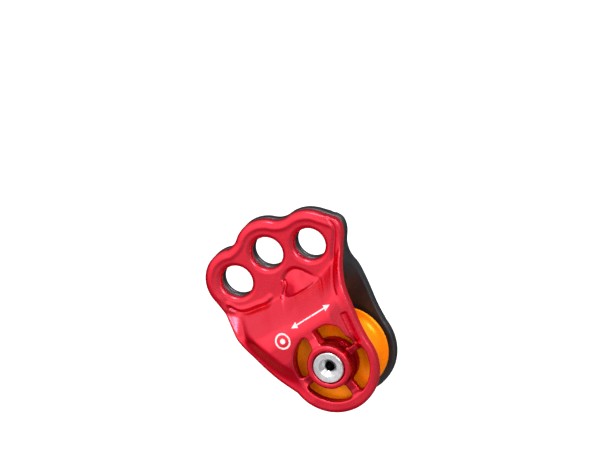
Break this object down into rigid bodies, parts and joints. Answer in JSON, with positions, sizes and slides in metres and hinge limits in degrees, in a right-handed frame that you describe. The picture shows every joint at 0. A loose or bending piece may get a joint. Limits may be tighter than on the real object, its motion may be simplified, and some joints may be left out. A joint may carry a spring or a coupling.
{
  "type": "rope pulley",
  "caption": "Swing-cheek rope pulley with a ball-bearing sheave on a hollow axle, dished side plates with lightened hubs, and a row of attachment holes for connectors.",
  "frame": {"origin": "centre of the middle attachment hole, halfway between the two side plates", "axes": "+Z from the axle up to the middle attachment hole, +Y along the axle from the front plate to the rear plate, +X to the right seen from the front"},
  "size_m": [0.0756, 0.0386, 0.0968],
  "materials": {
    "front_plate_anodised": "gloss red anodised",
    "rear_plate_anodised": "satin titanium-grey anodised",
    "sheave_anodised": "gloss orange anodised",
    "turned_steel": "fine turned",
    "bearing_steel": "ground and polished",
    "bronze": "machined bronze",
    "black_plastic": "matte"
  },
  "bodies": {
    "rear_side": {"rear_side_plate": "rear_plate_anodised", "axle": "turned_steel", "axle_nut": "turned_steel", "front_spacer": "turned_steel", "front_thrust_washer": "bronze", "front_head_washer": "black_plastic", "rear_spacer": "turned_steel", "rear_thrust_washer": "bronze", "rear_plate_bush": "bronze", "rear_head_washer": "black_plastic", "bearing_inner_race": "bearing_steel"},
    "front_side": {"front_side_plate": "front_plate_anodised", "front_plate_bush": "bronze"},
    "sheave_set": {"sheave": "sheave_anodised", "bearing_outer_race": "bearing_steel", "front_bearing_shield": "black_plastic", "rear_bearing_shield": "black_plastic", "bearing_circlip": "bearing_steel"},
    "ball_set": {"bearing_cage": "bronze", "bearing_ball_1": "bearing_steel", "bearing_ball_2": "bearing_steel", "bearing_ball_3": "bearing_steel", "bearing_ball_4": "bearing_steel", "bearing_ball_5": "bearing_steel", "bearing_ball_6": "bearing_steel", "bearing_ball_7": "bearing_steel", "bearing_ball_8": "bearing_steel", "bearing_ball_9": "bearing_steel"}
  },
  "joints": [
    {"name": "front_plate_swing", "type": "hinge", "parent": "rear_side", "child": "front_side", "pos_m": [0, 0, -0.0576], "axis": [0, 1, 0], "continuous": true},
    {"name": "sheave_spin", "type": "hinge", "parent": "rear_side", "child": "sheave_set", "pos_m": [0, 0, -0.0576], "axis": [0, 1, 0], "continuous": true},
    {"name": "ball_set_spin", "type": "hinge", "parent": "rear_side", "child": "ball_set", "pos_m": [0, 0, -0.0576], "axis": [0, 1, 0], "continuous": true}
  ],
  "couplings": [
    {"joint": "ball_set_spin", "follows": "sheave_spin", "ratio": 0.6}
  ]
}
